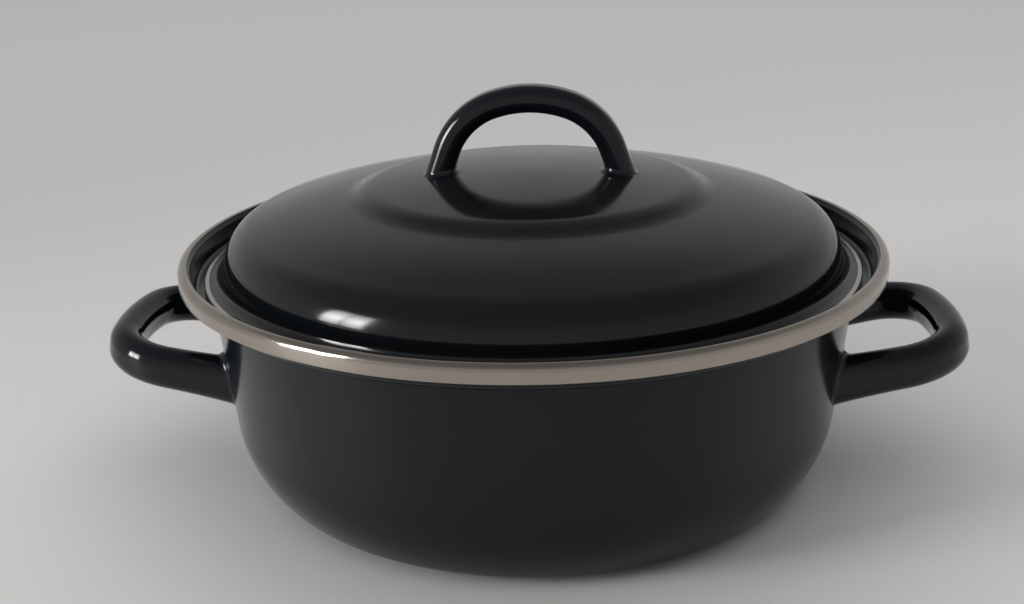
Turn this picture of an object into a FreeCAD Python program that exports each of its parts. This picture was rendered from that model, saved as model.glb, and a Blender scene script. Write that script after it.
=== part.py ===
import FreeCAD, Part
import math
import os

# An enamelled steel casserole with its lid on. Millimetres, +Z up.
# The origin is the centre of the base, on the surface that the pot stands on.
# The two side handles lie along X.

# Pot body: one drawn and enamelled steel sheet
POT_SHEET = 1.5
MOUTH_R = 122.0            # inside of the wall where it meets the ledge
WALL_FLARE = 5.7           # degrees that the wall leans outwards
BASE_CROWN = 1.0           # how far the middle of the base stands off the table
BASE_CROWN_RUN = 6.0
BASE_CROWN_BEND = 12.0
FOOT_W = 15.2              # width of the flat ring that the pot stands on, to the corner
CORNER_R = 14.5            # inside radius between base and belly
BELLY_R = 40.5             # inside radius between belly and wall
BELLY_SLOPE = 51.0         # degrees of the short straight between those two radii
BELLY_STRAIGHT = 0.4

# Ledge, collar and turned-down rim at the pot's mouth
LEDGE_Z = 82.4             # the surface that the lid's rim rests on
LEDGE_W = 7.0
LEDGE_BEND = 2.2
COLLAR_FOOT_BEND = 1.6
COLLAR_H = 7.9
COLLAR_LEAN = 1.4          # how far the collar leans outwards on its way up
RIM_TILT = 18.0            # degrees that the rim's top rises outwards
RIM_FLAT = 0.45            # straight part of the rim's top between its two bends
RIM_BEND = 1.9
RIM_LEG = 6.0              # height of the turned-down sheet

# Stainless band crimped over the pot's rim
BAND_SHEET = 0.6
BAND_BEND = 0.8
BAND_LIP = 0.2             # how far the band reaches over the straight of the rim's top
BAND_RETURN = 1.7          # width of the lip folded under the rim

# Lid: one pressed and enamelled steel sheet
LID_SHEET = 1.2
PLATEAU_R = 63.0
PLATEAU_RISE = 3.2         # height of the step round the plateau
PLATEAU_CROWN = 4.4        # rise of the plateau from its edge to its middle
PLATEAU_EDGE_BEND = 16.0
STEP_RUN = 5.7
STEP_FOOT_BEND = 16.0
DOME_MID_DROP = 3.5        # fall of the dome from the step to halfway
SHOULDER_DROP = 7.7        # fall of the dome from halfway to the shoulder's corner
SHOULDER_BEND = 11.0
SKIRT_H = 15.8             # from the shoulder's corner down to the flange
SKIRT_RUN = 0.8            # how far the skirt leans outwards on its way down
SKIRT_FOOT_BEND = 4.5
FLANGE_W = 7.1
ARC_SHARE = 0.95           # of the shorter straight beside it that a wide arc takes
LID_PLAY = 3.2             # between the lid's band and the foot of the pot's collar

# Stainless band crimped over the lid's edge
LID_BAND_SHEET = 0.5
LID_BAND_GRIP = 1.4        # how far the band reaches in over the flange

# Side handles: one bent, flattened steel tube each, welded to the wall
SIDE_PROUD = 32.0          # from the rim band's outside to the handle's outermost point
SIDE_DROP = 35.1           # from the ledge down to where the loop's plane meets the wall
SIDE_RISE = 11.5           # degrees that the loop's plane rises outwards
SIDE_HALF_W = 36.0         # from the loop's middle to an arm's centre line
SIDE_CORNER_R = 22.0
SIDE_END_R = 110.0
SIDE_TUBE_T = 12.5         # across the tube, in the loop's plane
SIDE_TUBE_H = 16.0         # across the tube, square to the loop's plane
SIDE_ROOT_H = 20.5         # the same where the tube meets the wall
SIDE_WELD_R = 2.4

# Lid handle: one bent, flattened steel tube
GRIP_APEX = 27.1           # from the plateau up to the tube's centre at the top
GRIP_CROWN_R = 45.0
GRIP_CROWN_HALF = 18.0     # degrees each side of the middle
GRIP_SHOULDER_R = 28.0
GRIP_LEG_LEAN = 20.0       # degrees that each leg leans outwards going down
GRIP_TUBE_T = 10.3
GRIP_TUBE_W = 14.2         # across the tube, from front to back
GRIP_WELD_R = 1.8

TUBE_WALL = 1.5
TUBE_OVERRUN = 9.0         # spare tube beyond the joint, trimmed to the surface
SEAM_TOLERANCE = 0.001     # how near an edge lies to the joint that it belongs to


def tan(degrees):
    return math.tan(math.radians(degrees))


def sin(degrees):
    return math.sin(math.radians(degrees))


def cos(degrees):
    return math.cos(math.radians(degrees))


def unit(a, b):
    length = math.hypot(b[0] - a[0], b[1] - a[1])
    return ((b[0] - a[0]) / length, (b[1] - a[1]) / length)


def turn(d1, d2):
    """Signed angle from d1 to d2, positive to the left, in radians."""
    return math.atan2(d1[0] * d2[1] - d1[1] * d2[0], d1[0] * d2[0] + d1[1] * d2[1])


def shifted_line(points, shift):
    """The open line moved sideways by shift, to the left when positive."""
    dirs = [unit(a, b) for a, b in zip(points, points[1:])]
    left = [(-d[1], d[0]) for d in dirs]
    out = [(points[0][0] + shift * left[0][0], points[0][1] + shift * left[0][1])]
    for i in range(1, len(points) - 1):
        half = turn(dirs[i - 1], dirs[i]) / 2
        mid = (left[i - 1][0] + left[i][0], left[i - 1][1] + left[i][1])
        size = math.hypot(*mid)
        reach = shift / math.cos(half)
        out.append((points[i][0] + reach * mid[0] / size, points[i][1] + reach * mid[1] / size))
    out.append((points[-1][0] + shift * left[-1][0], points[-1][1] + shift * left[-1][1]))
    return out


def shifted_bends(points, bends, shift):
    """The radii of the shifted line's corners; one that the shift uses up is sharp."""
    dirs = [unit(a, b) for a, b in zip(points, points[1:])]
    out = []
    for bend, d1, d2 in zip(bends, dirs, dirs[1:]):
        side = 1 if turn(d1, d2) > 0 else -1
        out.append(max(bend - side * shift, 0))
    return out


def along(start, direction, run):
    return (start[0] + run * direction[0], start[1] + run * direction[1])


def bent_edges(points, bends):
    """Edges in the XZ plane along a line with a radius at each corner.

    The arcs are splines, so that turned bends are surfaces of revolution and not narrow tori.
    """
    edges = []
    here = points[0]
    for i in range(1, len(points) - 1):
        corner = points[i]
        radius = bends[i - 1]
        if not radius:
            edges.append(Part.LineSegment(xz(here), xz(corner)).toShape())
            here = corner
            continue
        d1 = unit(points[i - 1], corner)
        d2 = unit(corner, points[i + 1])
        angle = turn(d1, d2)
        run = radius * math.tan(abs(angle) / 2)
        start = along(corner, d1, -run)
        end = along(corner, d2, run)
        inwards = unit((0, 0), (d2[0] - d1[0], d2[1] - d1[1]))
        middle = along(corner, inwards, radius / math.cos(angle / 2) - radius)
        edges.append(Part.LineSegment(xz(here), xz(start)).toShape())
        edges.append(Part.Arc(xz(start), xz(middle), xz(end)).toBSpline().toShape())
        here = end
    edges.append(Part.LineSegment(xz(here), xz(points[-1])).toShape())
    return edges


def xz(point):
    return FreeCAD.Vector(point[0], 0, point[1])


def spun(edges):
    """A solid of revolution about Z from a closed outline, in two half turns."""
    centre = FreeCAD.Vector(0, 0, 0)
    axis = FreeCAD.Vector(0, 0, 1)
    face = Part.Face(Part.Wire(Part.__sortEdges__(edges)))
    half = face.revolve(centre, axis, 180)
    if half.Volume < 0:
        half.reverse()
    other = half.copy()
    other.rotate(centre, axis, 180)
    return half.fuse(other).Solids[0]


def spun_sheet(points, bends, shift):
    """A sheet turned about Z: the line is one face, and shift is the thickness and its side."""
    other = shifted_line(points, shift)
    if points[0][0] == 0:
        other[0] = (0, other[0][1])
    edges = bent_edges(points, bends) + bent_edges(other, shifted_bends(points, bends, shift))
    edges.append(Part.LineSegment(xz(points[0]), xz(other[0])).toShape())
    edges.append(Part.LineSegment(xz(points[-1]), xz(other[-1])).toShape())
    return spun(edges)


def spun_core(points, bends):
    """Everything between a turned line and a flat across its last point."""
    edges = bent_edges(points, bends)
    level = (0, points[-1][1])
    edges.append(Part.LineSegment(xz(points[-1]), xz(level)).toShape())
    edges.append(Part.LineSegment(xz(level), xz(points[0])).toShape())
    return spun(edges)


# Pot body
COLLAR_TOP_R = MOUTH_R + LEDGE_W + COLLAR_LEAN
COLLAR_TOP_Z = LEDGE_Z + COLLAR_H
COLLAR_SLOPE = 90 - math.degrees(math.atan(COLLAR_LEAN / COLLAR_H))
RIM_OUT_RUN = RIM_BEND * tan((90 + RIM_TILT) / 2)
RIM_TOP_RUN = RIM_BEND * tan((COLLAR_SLOPE - RIM_TILT) / 2) + RIM_FLAT + RIM_OUT_RUN
RIM_R = COLLAR_TOP_R + RIM_TOP_RUN * cos(RIM_TILT)
RIM_TOP_Z = COLLAR_TOP_Z + RIM_TOP_RUN * sin(RIM_TILT)
RIM_LEG_Z = RIM_TOP_Z - RIM_LEG


def wall_line():
    """The food side of the pot, from the middle of the base up to the ledge."""
    corner_run = CORNER_R * tan(BELLY_SLOPE / 2)
    belly_run = BELLY_R * tan((90 - WALL_FLARE - BELLY_SLOPE) / 2)
    slope_length = corner_run + BELLY_STRAIGHT + belly_run
    belly_z = POT_SHEET + slope_length * sin(BELLY_SLOPE)
    belly_r = MOUTH_R - (LEDGE_Z - belly_z) * tan(WALL_FLARE)
    corner_r = belly_r - slope_length * cos(BELLY_SLOPE)
    foot_r = corner_r - FOOT_W
    points = [
        (0, POT_SHEET + BASE_CROWN),
        (foot_r - BASE_CROWN_RUN, POT_SHEET + BASE_CROWN),
        (foot_r, POT_SHEET),
        (corner_r, POT_SHEET),
        (belly_r, belly_z),
        (MOUTH_R, LEDGE_Z),
    ]
    return points, [BASE_CROWN_BEND, BASE_CROWN_BEND, CORNER_R, BELLY_R]


def pot_body():
    points, bends = wall_line()
    rim = [
        (MOUTH_R + LEDGE_W, LEDGE_Z),
        (COLLAR_TOP_R, COLLAR_TOP_Z),
        (RIM_R, RIM_TOP_Z),
        (RIM_R, RIM_LEG_Z),
    ]
    rim_bends = [LEDGE_BEND, COLLAR_FOOT_BEND, RIM_BEND, RIM_BEND]
    return spun_sheet(points + rim, bends + rim_bends, -POT_SHEET)


def pot_outside():
    """The pot's outer form below the ledge, filled, to trim the side handles against."""
    points, bends = wall_line()
    outer = shifted_line(points, -POT_SHEET)
    outer[0] = (0, outer[0][1])
    return spun_core(outer, shifted_bends(points, bends, -POT_SHEET))


def pot_rim_band():
    lip_run = RIM_OUT_RUN + BAND_LIP
    points = [
        (RIM_R - lip_run * cos(RIM_TILT), RIM_TOP_Z - lip_run * sin(RIM_TILT)),
        (RIM_R, RIM_TOP_Z),
        (RIM_R, RIM_LEG_Z),
        (RIM_R - BAND_RETURN, RIM_LEG_Z),
    ]
    return spun_sheet(points, [BAND_BEND, 0], BAND_SHEET)


# Lid
LID_EDGE_R = MOUTH_R + LEDGE_W - LID_PLAY - LID_BAND_SHEET
LID_FLANGE_Z = LEDGE_Z + LID_BAND_SHEET + LID_SHEET
SHOULDER_R = LID_EDGE_R - FLANGE_W - SKIRT_RUN
SHOULDER_Z = LID_FLANGE_Z + SKIRT_H
DOME_MID_Z = SHOULDER_Z + SHOULDER_DROP
STEP_FOOT_R = PLATEAU_R + STEP_RUN
STEP_FOOT_Z = DOME_MID_Z + DOME_MID_DROP
PLATEAU_Z = STEP_FOOT_Z + PLATEAU_RISE


def bend_run(before, corner, after, radius):
    """The length of each straight that a bend at the corner takes up."""
    return radius * math.tan(abs(turn(unit(before, corner), unit(corner, after))) / 2)


def wide_bend(before, corner, after, run_before, run_after):
    """The radius of a wide arc at a corner, beside bends that take up a run of each straight."""
    spare = min(math.dist(before, corner) - run_before, math.dist(corner, after) - run_after)
    return ARC_SHARE * spare / bend_run(before, corner, after, 1)


def lid_line():
    """The upper face of the lid, from its middle to its edge."""
    middle = (0, PLATEAU_Z + PLATEAU_CROWN)
    crown = (PLATEAU_R / 2, PLATEAU_Z + PLATEAU_CROWN)
    plateau_edge = (PLATEAU_R, PLATEAU_Z)
    step_foot = (STEP_FOOT_R, STEP_FOOT_Z)
    dome_mid = ((STEP_FOOT_R + SHOULDER_R) / 2, DOME_MID_Z)
    shoulder = (SHOULDER_R, SHOULDER_Z)
    skirt_foot = (SHOULDER_R + SKIRT_RUN, LID_FLANGE_Z)
    edge = (LID_EDGE_R, LID_FLANGE_Z)
    edge_run = bend_run(crown, plateau_edge, step_foot, PLATEAU_EDGE_BEND)
    foot_run = bend_run(plateau_edge, step_foot, dome_mid, STEP_FOOT_BEND)
    shoulder_run = bend_run(dome_mid, shoulder, skirt_foot, SHOULDER_BEND)
    crown_bend = wide_bend(middle, crown, plateau_edge, 0, edge_run)
    dome_bend = wide_bend(step_foot, dome_mid, shoulder, foot_run, shoulder_run)
    points = [middle, crown, plateau_edge, step_foot, dome_mid, shoulder, skirt_foot, edge]
    bends = [crown_bend, PLATEAU_EDGE_BEND, STEP_FOOT_BEND, dome_bend, SHOULDER_BEND, SKIRT_FOOT_BEND]
    return points, bends


def lid_shell():
    points, bends = lid_line()
    return spun_sheet(points, bends, -LID_SHEET)


def lid_outside():
    """The lid's upper form, filled, to trim the lid handle against."""
    points, bends = lid_line()
    return spun_core(points, bends)


def lid_rim_band():
    grip_r = LID_EDGE_R - LID_BAND_GRIP
    lower_z = LID_FLANGE_Z - LID_SHEET
    points = [
        (grip_r, LID_FLANGE_Z),
        (LID_EDGE_R, LID_FLANGE_Z),
        (LID_EDGE_R, lower_z),
        (grip_r, lower_z),
    ]
    return spun_sheet(points, [0, 0], LID_BAND_SHEET)


# Handles
def oval(centre, along_t, along_h, t, h):
    """A flattened tube's section: t across its flats, h from round end to round end."""
    r = t / 2
    flat = h / 2 - r
    corners = []
    for side_t, side_h in ((1, -1), (1, 1), (-1, 1), (-1, -1)):
        corners.append(centre + along_t * (side_t * r) + along_h * (side_h * flat))
    top = centre + along_h * (h / 2)
    bottom = centre - along_h * (h / 2)
    return Part.Wire([
        Part.LineSegment(corners[0], corners[1]).toShape(),
        Part.Arc(corners[1], top, corners[2]).toShape(),
        Part.LineSegment(corners[2], corners[3]).toShape(),
        Part.Arc(corners[3], bottom, corners[0]).toShape(),
    ])


def swept(path, sections, normal):
    """A solid of the sections, in order along a path that lies square to normal."""
    shell = Part.BRepOffsetAPI.MakePipeShell(path)
    shell.setBiNormalMode(normal)
    for section in sections:
        shell.add(section)
    shell.build()
    shell.makeSolid()
    return shell.shape()


def side_path():
    """The right handle's centre line, and the points and directions where its section is set."""
    outwards = FreeCAD.Vector(cos(SIDE_RISE), 0, sin(SIDE_RISE))
    normal = FreeCAD.Vector(-sin(SIDE_RISE), 0, cos(SIDE_RISE))
    across = FreeCAD.Vector(0, 1, 0)
    root_r = MOUTH_R - SIDE_DROP * tan(WALL_FLARE) + POT_SHEET / cos(WALL_FLARE)
    root = FreeCAD.Vector(root_r, 0, LEDGE_Z - SIDE_DROP)
    reach = RIM_R + BAND_SHEET + SIDE_PROUD
    depth = (reach - root_r) / cos(SIDE_RISE) - SIDE_TUBE_T / 2
    wall_hollow = root_r - math.sqrt(root_r ** 2 - (SIDE_HALF_W + SIDE_TUBE_T / 2) ** 2)
    end_sin = (SIDE_HALF_W - SIDE_CORNER_R) / (SIDE_END_R - SIDE_CORNER_R)
    end_cos = math.sqrt(1 - end_sin ** 2)
    corner_u = depth - SIDE_END_R + (SIDE_END_R - SIDE_CORNER_R) * end_cos
    corner_w = (SIDE_END_R - SIDE_CORNER_R) * end_sin
    mid_sin = math.sqrt((1 - end_sin) / 2)
    mid_cos = math.sqrt((1 + end_sin) / 2)

    def at(u, w):
        return root + outwards * u + across * w

    start = at(-wall_hollow - TUBE_OVERRUN, -SIDE_HALF_W)
    arm = at(corner_u, -SIDE_HALF_W)
    bend = at(corner_u + SIDE_CORNER_R * mid_sin, -corner_w - SIDE_CORNER_R * mid_cos)
    end = at(corner_u + SIDE_CORNER_R * end_cos, -corner_w - SIDE_CORNER_R * end_sin)
    apex = at(depth, 0)

    def mirrored(point):
        return FreeCAD.Vector(point.x, -point.y, point.z)

    path = Part.Wire([
        Part.LineSegment(start, arm).toShape(),
        Part.Arc(arm, bend, end).toShape(),
        Part.Arc(end, apex, mirrored(end)).toShape(),
        Part.Arc(mirrored(end), mirrored(bend), mirrored(arm)).toShape(),
        Part.LineSegment(mirrored(arm), mirrored(start)).toShape(),
    ])
    stations = [
        (start, across, SIDE_ROOT_H),
        (arm, across, SIDE_TUBE_H),
        (apex, outwards, SIDE_TUBE_H),
        (mirrored(arm), across, SIDE_TUBE_H),
        (mirrored(start), across, SIDE_ROOT_H),
    ]
    return path, stations, normal


def side_tube(wall):
    """The side handle's tube, or what is inside it when wall is its thickness."""
    path, stations, normal = side_path()
    sections = []
    for centre, along_t, height in stations:
        sections.append(oval(centre, along_t, normal, SIDE_TUBE_T - 2 * wall, height - 2 * wall))
    return swept(path, sections, normal)


def welded(tube, bore, ground, weld_r):
    """A tube trimmed to the surface that it stands on, with a fillet of weld and its bore."""
    joined = ground.fuse(tube)
    on_ground = tube.section(ground)
    seams = []
    for edge in joined.Edges:
        middle = edge.valueAt((edge.FirstParameter + edge.LastParameter) / 2)
        if on_ground.distToShape(Part.Vertex(middle))[0] < SEAM_TOLERANCE:
            seams.append(edge)
    piece = joined.makeFillet(weld_r, seams).cut(ground).cut(bore)
    return piece.Solids[0]


def side_handle():
    return welded(side_tube(0), side_tube(TUBE_WALL), pot_outside(), SIDE_WELD_R)


def mirrored_x(shape):
    return shape.mirror(FreeCAD.Vector(0, 0, 0), FreeCAD.Vector(1, 0, 0))


def grip_path():
    """The lid handle's centre line, and the points and directions where its section is set."""
    apex_z = PLATEAU_Z + PLATEAU_CROWN + GRIP_APEX
    crown_z = apex_z - GRIP_CROWN_R
    bend_x = (GRIP_CROWN_R - GRIP_SHOULDER_R) * sin(GRIP_CROWN_HALF)
    bend_z = crown_z + (GRIP_CROWN_R - GRIP_SHOULDER_R) * cos(GRIP_CROWN_HALF)

    def shoulder(angle):
        return (bend_x + GRIP_SHOULDER_R * sin(angle), bend_z + GRIP_SHOULDER_R * cos(angle))

    crown_end = shoulder(GRIP_CROWN_HALF)
    leg_turn = 90 - GRIP_LEG_LEAN
    leg_top = shoulder(leg_turn)
    shoulder_mid = shoulder((GRIP_CROWN_HALF + leg_turn) / 2)
    foot_z = PLATEAU_Z - TUBE_OVERRUN
    foot = (leg_top[0] + (leg_top[1] - foot_z) * tan(GRIP_LEG_LEAN), foot_z)

    def left(point):
        return xz((-point[0], point[1]))

    return Part.Wire([
        Part.LineSegment(left(foot), left(leg_top)).toShape(),
        Part.Arc(left(leg_top), left(shoulder_mid), left(crown_end)).toShape(),
        Part.Arc(left(crown_end), xz((0, apex_z)), xz(crown_end)).toShape(),
        Part.Arc(xz(crown_end), xz(shoulder_mid), xz(leg_top)).toShape(),
        Part.LineSegment(xz(leg_top), xz(foot)).toShape(),
    ]), left(foot)


def grip_tube(wall):
    path, foot = grip_path()
    across = FreeCAD.Vector(cos(GRIP_LEG_LEAN), 0, -sin(GRIP_LEG_LEAN))
    depth = FreeCAD.Vector(0, 1, 0)
    section = oval(foot, across, depth, GRIP_TUBE_T - 2 * wall, GRIP_TUBE_W - 2 * wall)
    return swept(path, [section], depth)


def lid_handle():
    return welded(grip_tube(0), grip_tube(TUBE_WALL), lid_outside(), GRIP_WELD_R)


PIECES = {
    "pot_body": pot_body(),
    "pot_rim_band": pot_rim_band(),
    "right_side_handle": side_handle(),
    "lid_shell": lid_shell(),
    "lid_rim_band": lid_rim_band(),
    "lid_handle": lid_handle(),
}
PIECES["left_side_handle"] = mirrored_x(PIECES["right_side_handle"])

os.makedirs("parts", exist_ok=True)
for name, shape in PIECES.items():
    box = shape.BoundBox
    print(name, shape.ShapeType, len(shape.Solids), shape.isValid(), round(shape.Volume),
          [round(v, 2) for v in (box.XMin, box.YMin, box.ZMin, box.XMax, box.YMax, box.ZMax)])
    shape.exportStep("parts/" + name + ".step")
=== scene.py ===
import math

import bmesh
import bpy
from mathutils import Matrix, Vector


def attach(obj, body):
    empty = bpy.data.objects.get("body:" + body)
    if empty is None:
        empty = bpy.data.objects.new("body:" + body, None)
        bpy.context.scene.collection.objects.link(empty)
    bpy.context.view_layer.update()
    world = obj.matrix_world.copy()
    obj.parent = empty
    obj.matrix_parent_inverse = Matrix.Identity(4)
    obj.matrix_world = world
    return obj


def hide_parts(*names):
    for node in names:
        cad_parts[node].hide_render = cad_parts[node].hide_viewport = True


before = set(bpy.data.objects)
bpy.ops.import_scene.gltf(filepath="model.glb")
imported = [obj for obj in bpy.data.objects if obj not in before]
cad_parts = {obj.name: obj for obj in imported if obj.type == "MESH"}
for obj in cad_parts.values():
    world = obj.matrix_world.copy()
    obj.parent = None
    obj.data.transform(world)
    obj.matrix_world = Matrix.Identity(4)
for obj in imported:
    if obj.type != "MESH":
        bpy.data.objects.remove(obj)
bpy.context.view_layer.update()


# Pot body: one drawn steel sheet, 1.5 mm with the enamel that is fired on it black all over.
# The ledge, the collar and the turned-down rim are pressed from the same sheet, and it stands
# on a flat ring round a slightly crowned base.
MM = 0.001
SIDES = 256
FINEST_TURN = 2.5
FINEST_STEP = 0.35
FEWEST_STEPS = 3
DOUBLES = 0.002
EDGE_ANGLE = 60
EDGE_SHARE = 0.15
SMOOTH_ANGLE = 40
UNDER_LINE = -1
OVER_LINE = 1
SHEET = 1.5
LEDGE_Z = 82.4
WALL_LINE = [
    (0, 2.5),
    (82.0, 2.5),
    (88.0, 1.5),
    (103.2, 1.5),
    (115.55, 16.75),
    (122.0, LEDGE_Z),
]
WALL_BENDS = [12, 12, 14.5, 40.5]
RIM_TOP = (134.4, 91.6)
RIM_FOOT = (134.4, 85.6)
RIM_LINE = [(129.0, LEDGE_Z), (130.4, 90.3), RIM_TOP, RIM_FOOT]
RIM_BENDS = [2.2, 1.6, 1.9, 1.9]


def to_point(here, there):
    """Extrudes the end of a drawn line to the next point of its section, in millimetres."""
    step = ((there[0] - here[0]) * MM, 0, (there[1] - here[1]) * MM)
    bpy.ops.mesh.extrude_vertices_move(TRANSFORM_OT_translate={"value": step})


def round_bend(corner, before, after, radius):
    """Leads the line straight to a corner's arc and spins it round the arc; gives its end."""
    d1 = (Vector(corner) - Vector(before)).normalized()
    d2 = (Vector(after) - Vector(corner)).normalized()
    angle = d1.angle(d2)
    run = radius * math.tan(angle / 2)
    start = Vector(corner) - run * d1
    end = Vector(corner) + run * d2
    left = 1 if d1.x * d2.y - d1.y * d2.x > 0 else -1
    centre = start + radius * left * Vector((-d1.y, d1.x))
    to_point(before, start)
    steps = min(math.degrees(angle) / FINEST_TURN, radius * angle / FINEST_STEP)
    bpy.ops.mesh.spin(
        steps=max(FEWEST_STEPS, round(steps)),
        angle=angle,
        center=(centre.x * MM, 0, centre.y * MM),
        axis=(0, left, 0),
    )
    return end


def turned_sheet(name, line, bends, sheet, side):
    """Draws a sheet's line corner by corner, turns it about Z and gives it its thickness."""
    bpy.ops.object.select_all(action="DESELECT")
    start = line[0]
    bpy.ops.mesh.primitive_plane_add(size=MM, location=(start[0] * MM, 0, start[1] * MM))
    piece = bpy.context.object
    piece.name = name
    bpy.ops.object.transform_apply(location=True)
    bpy.ops.object.mode_set(mode="EDIT")
    bpy.ops.mesh.merge(type="CENTER")
    here = start
    for i, bend in enumerate(bends):
        here = round_bend(line[i + 1], here, line[i + 2], bend)
    to_point(here, line[-1])
    bpy.ops.mesh.select_all(action="SELECT")
    bpy.ops.mesh.spin(steps=SIDES, angle=math.tau, center=(0, 0, 0), axis=(0, 0, 1))
    bpy.ops.mesh.select_all(action="SELECT")
    bpy.ops.mesh.remove_doubles(threshold=DOUBLES * MM)
    bpy.ops.mesh.normals_make_consistent(inside=False)
    mesh = bmesh.from_edit_mesh(piece.data)

    def from_start(face):
        middle = face.calc_center_median()
        return math.hypot(middle.xy.length - start[0] * MM, middle.z - start[1] * MM)

    if min(mesh.faces, key=from_start).normal.z < 0:
        bpy.ops.mesh.flip_normals()
    bpy.ops.object.mode_set(mode="OBJECT")
    wall = piece.modifiers.new("sheet", "SOLIDIFY")
    wall.thickness = sheet * MM
    wall.offset = side
    wall.use_even_offset = True
    wall.use_quality_normals = True
    edge = piece.modifiers.new("edge", "BEVEL")
    edge.limit_method = "ANGLE"
    edge.angle_limit = math.radians(EDGE_ANGLE)
    edge.width = EDGE_SHARE * sheet * MM
    edge.segments = 2
    for modifier in ("sheet", "edge"):
        bpy.ops.object.modifier_apply(modifier=modifier)
    bpy.ops.object.shade_smooth_by_angle(angle=math.radians(SMOOTH_ANGLE))
    even = piece.modifiers.new("even", "WEIGHTED_NORMAL")
    even.keep_sharp = True
    bpy.ops.object.modifier_apply(modifier="even")
    return piece


def enamel(name, colour, gloss, roughness, wave):
    """Black glass fired on steel: almost black, glossy, with a slow wave and fine orange peel."""
    made = bpy.data.materials.new(name)
    made.use_nodes = True
    nodes = made.node_tree.nodes
    link = made.node_tree.links.new
    shader = nodes["Principled BSDF"]
    shader.inputs["IOR"].default_value = 1.45
    shader.inputs["Specular IOR Level"].default_value = gloss
    place = nodes.new("ShaderNodeTexCoord")

    def noise(scale, detail):
        texture = nodes.new("ShaderNodeTexNoise")
        texture.inputs["Scale"].default_value = scale
        texture.inputs["Detail"].default_value = detail
        link(place.outputs["Object"], texture.inputs["Vector"])
        return texture.outputs["Fac"]

    film = nodes.new("ShaderNodeMapRange")
    film.inputs["From Min"].default_value = 0.35
    film.inputs["From Max"].default_value = 0.75
    film.inputs["To Min"].default_value = roughness
    film.inputs["To Max"].default_value = roughness * 1.8
    link(noise(scale=28, detail=5), film.inputs["Value"])
    link(film.outputs["Result"], shader.inputs["Roughness"])

    tint = nodes.new("ShaderNodeMix")
    tint.data_type = "RGBA"
    tint.inputs["A"].default_value = (*colour, 1)
    tint.inputs["B"].default_value = (*[c * 1.5 for c in colour], 1)
    link(noise(scale=14, detail=4), tint.inputs["Factor"])
    link(tint.outputs["Result"], shader.inputs["Base Color"])

    slow = nodes.new("ShaderNodeBump")
    slow.inputs["Distance"].default_value = wave * MM
    link(noise(scale=16, detail=1), slow.inputs["Height"])
    peel = nodes.new("ShaderNodeBump")
    peel.inputs["Distance"].default_value = 0.004 * MM
    link(noise(scale=320, detail=2), peel.inputs["Height"])
    link(slow.outputs["Normal"], peel.inputs["Normal"])
    for bump in (slow, peel):
        bump.inputs["Strength"].default_value = 1
    link(peel.outputs["Normal"], shader.inputs["Normal"])
    return made


pot_enamel = enamel(
    "pot_enamel", colour=(0.0026, 0.0042, 0.0062), gloss=0.36, roughness=0.12, wave=0.25
)
pot_body = turned_sheet(
    "pot_body_drawn", WALL_LINE + RIM_LINE, WALL_BENDS + RIM_BENDS, SHEET, UNDER_LINE
)
pot_body.data.materials.append(pot_enamel)
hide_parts("pot_body")
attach(pot_body, "root")


# Handles: three loops of bent and flattened steel tube, one on each side and one on the lid,
# welded to the sheet and enamelled with it. The frame's solids have their full form, so they
# only get the finish.
handle_enamel = enamel(
    "handle_enamel", colour=(0.0030, 0.0040, 0.0056), gloss=0.45, roughness=0.08, wave=0.12
)
for node in ("right_side_handle", "left_side_handle", "lid_handle"):
    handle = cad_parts[node]
    handle.data.materials.clear()
    handle.data.materials.append(handle_enamel)


# Stainless band on the pot's rim: a 0.6 mm strip rolled round the rim and crimped over it,
# with a lip on top, a plain outside and a short return under the turned-down sheet. Its
# brushing runs round the pot.
BAND_SHEET = 0.6
BAND_LINE = [(131.73, 90.73), RIM_TOP, RIM_FOOT, (132.7, 85.6)]
BAND_BENDS = [1.9, 0.2]


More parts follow.
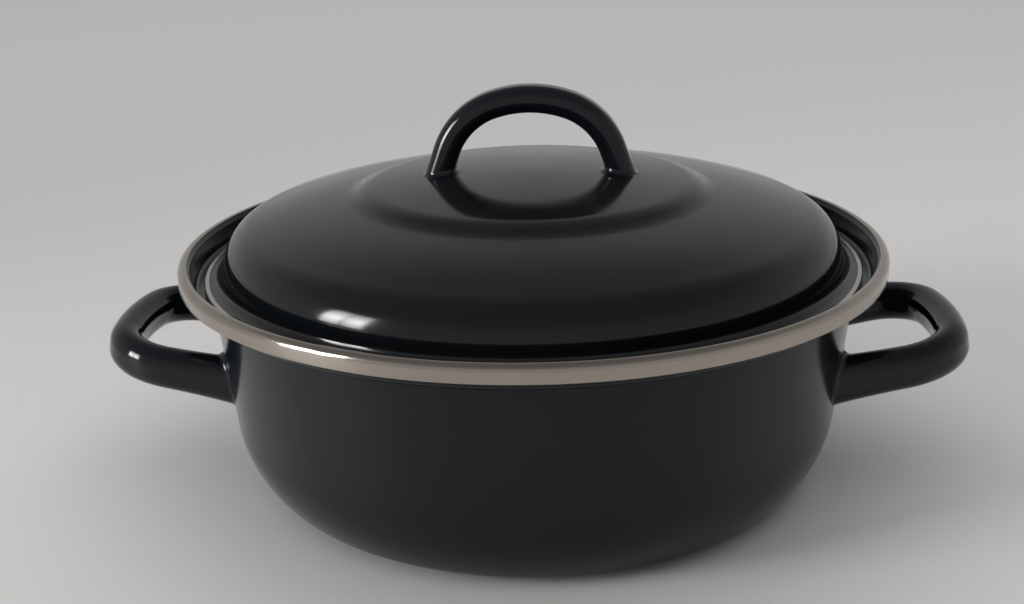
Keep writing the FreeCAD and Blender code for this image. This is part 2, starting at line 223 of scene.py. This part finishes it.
def brushed(name, colour, roughness):
    """Stainless steel brushed round the Z axis, with a little waviness left by the crimping."""
    made = bpy.data.materials.new(name)
    made.use_nodes = True
    nodes = made.node_tree.nodes
    link = made.node_tree.links.new
    shader = nodes["Principled BSDF"]
    shader.inputs["Metallic"].default_value = 1
    place = nodes.new("ShaderNodeTexCoord")

    flat = nodes.new("ShaderNodeVectorMath")
    flat.operation = "MULTIPLY"
    flat.inputs[1].default_value = (1, 1, 0)
    link(place.outputs["Object"], flat.inputs[0])
    radius = nodes.new("ShaderNodeVectorMath")
    radius.operation = "LENGTH"
    link(flat.outputs["Vector"], radius.inputs[0])
    round_way = nodes.new("ShaderNodeVectorMath")
    round_way.operation = "NORMALIZE"
    link(flat.outputs["Vector"], round_way.inputs[0])
    upright = nodes.new("ShaderNodeSeparateXYZ")
    link(place.outputs["Object"], upright.inputs["Vector"])
    across = nodes.new("ShaderNodeMath")
    across.operation = "SUBTRACT"
    link(upright.outputs["Z"], across.inputs[0])
    link(radius.outputs["Value"], across.inputs[1])
    lines = nodes.new("ShaderNodeMath")
    lines.operation = "MULTIPLY"
    lines.inputs[1].default_value = 3500
    link(across.outputs["Value"], lines.inputs[0])
    split = nodes.new("ShaderNodeSeparateXYZ")
    link(round_way.outputs["Vector"], split.inputs["Vector"])
    along = nodes.new("ShaderNodeCombineXYZ")
    link(split.outputs["X"], along.inputs["X"])
    link(split.outputs["Y"], along.inputs["Y"])
    link(lines.outputs["Value"], along.inputs["Z"])

    grain = nodes.new("ShaderNodeTexNoise")
    grain.inputs["Scale"].default_value = 3
    link(along.outputs["Vector"], grain.inputs["Vector"])
    cloud = nodes.new("ShaderNodeTexNoise")
    cloud.inputs["Scale"].default_value = 30
    link(place.outputs["Object"], cloud.inputs["Vector"])
    for noise in (grain, cloud):
        noise.inputs["Detail"].default_value = 3

    tint = nodes.new("ShaderNodeMix")
    tint.data_type = "RGBA"
    tint.inputs["A"].default_value = (*[c * 0.86 for c in colour], 1)
    tint.inputs["B"].default_value = (*colour, 1)
    link(cloud.outputs["Fac"], tint.inputs["Factor"])
    link(tint.outputs["Result"], shader.inputs["Base Color"])
    dull = nodes.new("ShaderNodeMapRange")
    dull.inputs["To Min"].default_value = roughness * 0.8
    dull.inputs["To Max"].default_value = roughness * 1.4
    link(grain.outputs["Fac"], dull.inputs["Value"])
    link(dull.outputs["Result"], shader.inputs["Roughness"])
    crimp = nodes.new("ShaderNodeBump")
    crimp.inputs["Distance"].default_value = 0.70 * MM
    link(cloud.outputs["Fac"], crimp.inputs["Height"])
    scratch = nodes.new("ShaderNodeBump")
    scratch.inputs["Distance"].default_value = 0.0015 * MM
    link(grain.outputs["Fac"], scratch.inputs["Height"])
    link(crimp.outputs["Normal"], scratch.inputs["Normal"])
    link(scratch.outputs["Normal"], shader.inputs["Normal"])
    return made


pot_band = turned_sheet("pot_rim_band_crimped", BAND_LINE, BAND_BENDS, BAND_SHEET, OVER_LINE)
# The band's steel colour is kept darker and browner than bare stainless. This is painted shade
# and a painted brown reflection of its surroundings.
pot_band.data.materials.append(
    brushed("pot_band_steel", colour=(0.44, 0.39, 0.34), roughness=0.12)
)
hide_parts("pot_rim_band")
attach(pot_band, "root")


# Lid: one pressed sheet of enamelled steel, 1.2 mm with its enamel. It has a crowned plateau
# under the handle, a soft step round it, a shallow dome, a rounded shoulder, a nearly upright
# skirt and a flange that rests on the pot's ledge.
LID_SHEET = 1.2
LID_BAND_SHEET = 0.5
FLANGE_Z = LEDGE_Z + LID_BAND_SHEET + LID_SHEET
CROWN_RISE = 34.6
CROWN_Z = FLANGE_Z + CROWN_RISE
PLATEAU_R, PLATEAU_FALL = 63.0, 4.4
STEP_R, STEP_FALL = 68.7, 7.6
DOME_R, DOME_FALL = 93.05, 11.1
SHOULDER_R, SHOULDER_FALL = 117.4, 18.8
SKIRT_R = 118.2
LID_EDGE_R = 125.3
LID_LINE = [
    (0, CROWN_Z),
    (PLATEAU_R / 2, CROWN_Z),
    (PLATEAU_R, CROWN_Z - PLATEAU_FALL),
    (STEP_R, CROWN_Z - STEP_FALL),
    (DOME_R, CROWN_Z - DOME_FALL),
    (SHOULDER_R, CROWN_Z - SHOULDER_FALL),
    (SKIRT_R, FLANGE_Z),
    (LID_EDGE_R, FLANGE_Z),
]
LID_BENDS = [393, 16, 16, 175, 15, 4.5]

lid_enamel = enamel(
    "lid_enamel", colour=(0.0030, 0.0038, 0.0046), gloss=0.46, roughness=0.09, wave=0.30
)
lid_shell = turned_sheet("lid_pressed", LID_LINE, LID_BENDS, LID_SHEET, UNDER_LINE)
lid_shell.data.materials.append(lid_enamel)
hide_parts("lid_shell")
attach(lid_shell, "root")


# Stainless band on the lid's edge: a 0.5 mm strip folded over the flange's edge, so that
# steel and not enamel meets the ledge. It is brushed like the band on the pot's rim.
LID_BAND_REACH = 1.4
LID_BAND_R = LID_EDGE_R - LID_BAND_REACH
LID_BAND_LINE = [
    (LID_BAND_R, FLANGE_Z),
    (LID_EDGE_R, FLANGE_Z),
    (LID_EDGE_R, FLANGE_Z - LID_SHEET),
    (LID_BAND_R, FLANGE_Z - LID_SHEET),
]
LID_BAND_BENDS = [0.2, 0.2]
lid_band = turned_sheet(
    "lid_rim_band_folded", LID_BAND_LINE, LID_BAND_BENDS, LID_BAND_SHEET, OVER_LINE
)
lid_band.data.materials.append(
    brushed("lid_band_steel", colour=(0.58, 0.53, 0.48), roughness=0.16)
)
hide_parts("lid_rim_band")
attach(lid_band, "root")


# Floor: a plain pale surface, painted matt, so wide that its edge lies far behind the pot
# from every side. It isn't a piece of the pot and only catches its shadow.
FLOOR_WIDTH = 12
bpy.ops.object.select_all(action="DESELECT")
bpy.ops.mesh.primitive_plane_add(size=FLOOR_WIDTH, location=(0, 0, 0))
floor = bpy.context.object
floor.name = "floor"
floor_paint = bpy.data.materials.new("floor_paint")
floor_paint.use_nodes = True
floor_shader = floor_paint.node_tree.nodes["Principled BSDF"]
floor_shader.inputs["Base Color"].default_value = (0.60, 0.59, 0.58, 1)
floor_shader.inputs["Roughness"].default_value = 0.6
floor.data.materials.append(floor_paint)


# Light: two tall soft lamps side by side on the left in front, which the gloss mirrors as one
# parted patch, a wide soft lamp above that leaves no patch on it, and a room that is pale at
# eye level and darker overhead.
LAMP_AIM = (0, 0, 0.1)
ROOM_SHADES = [
    (0.52, (0.48, 0.48, 0.48, 1)),
    (0.74, (0.38, 0.38, 0.38, 1)),
    (0.85, (0.24, 0.24, 0.24, 1)),
    (1, (0.17, 0.17, 0.18, 1)),
]


def soft_light(name, width, height, spread, power, place, aim):
    """Hangs a flat lamp at its place, turned to its aim; sizes in metres, power in watts."""
    light = bpy.data.lights.new(name, "AREA")
    light.spread = math.radians(spread)
    light.shape = "RECTANGLE"
    light.size = width
    light.size_y = height
    light.energy = power
    holder = bpy.data.objects.new(name, light)
    bpy.context.scene.collection.objects.link(holder)
    holder.location = place
    holder.rotation_mode = "QUATERNION"
    holder.rotation_quaternion = (Vector(aim) - Vector(place)).to_track_quat("-Z", "Y")
    return holder


for name, place in (("lamp_near", (-1.47, -0.85, 0.58)), ("lamp_far", (-1.59, -0.60, 0.58))):
    soft_light(name, width=0.25, height=0.85, spread=36, power=0.65, place=place, aim=LAMP_AIM)
overhead = soft_light(
    "overhead", width=6, height=6, spread=180, power=110, place=(0, 0.8, 3), aim=(0, 0.8, 0)
)
overhead.visible_glossy = False

room = bpy.data.worlds.new("room")
room.use_nodes = True
room_nodes = room.node_tree.nodes
room_link = room.node_tree.links.new
direction = room_nodes.new("ShaderNodeTexCoord")
upwards = room_nodes.new("ShaderNodeSeparateXYZ")
room_link(direction.outputs["Generated"], upwards.inputs["Vector"])
rise = room_nodes.new("ShaderNodeMapRange")
rise.inputs["From Min"].default_value = -1
room_link(upwards.outputs["Z"], rise.inputs["Value"])
shade = room_nodes.new("ShaderNodeValToRGB")
stops = shade.color_ramp.elements
stops[0].position = ROOM_SHADES[0][0]
stops[1].position = ROOM_SHADES[-1][0]
for position, colour in ROOM_SHADES[1:-1]:
    stops.new(position)
for stop, (position, colour) in zip(stops, ROOM_SHADES):
    stop.color = colour
room_link(rise.outputs["Result"], shade.inputs["Fac"])
room_link(shade.outputs["Color"], room_nodes["Background"].inputs["Color"])
bpy.context.scene.world = room


# Camera: it stands where the ellipses of the rim, the lid and the base put it, a little to
# the right of the middle, half a metre away and looking down on the lid.
SENSOR_WIDTH = 36
FOCAL_LENGTH = 45.7
CAMERA_PLACE = (0.0238, -0.4876, 0.2338)
CAMERA_TURN = 3.76
CAMERA_DIP = 19.12
CAMERA_ROLL = -1.42
lens = bpy.data.cameras.new("camera")
lens.sensor_width = SENSOR_WIDTH
lens.lens = FOCAL_LENGTH
camera = bpy.data.objects.new("camera", lens)
bpy.context.scene.collection.objects.link(camera)
camera.matrix_world = (
    Matrix.Translation(CAMERA_PLACE)
    @ Matrix.Rotation(math.radians(CAMERA_TURN), 4, "Z")
    @ Matrix.Rotation(math.radians(90 - CAMERA_DIP), 4, "X")
    @ Matrix.Rotation(math.radians(CAMERA_ROLL), 4, "Z")
)
bpy.context.scene.camera = camera
bpy.context.scene.view_settings.view_transform = "Standard"
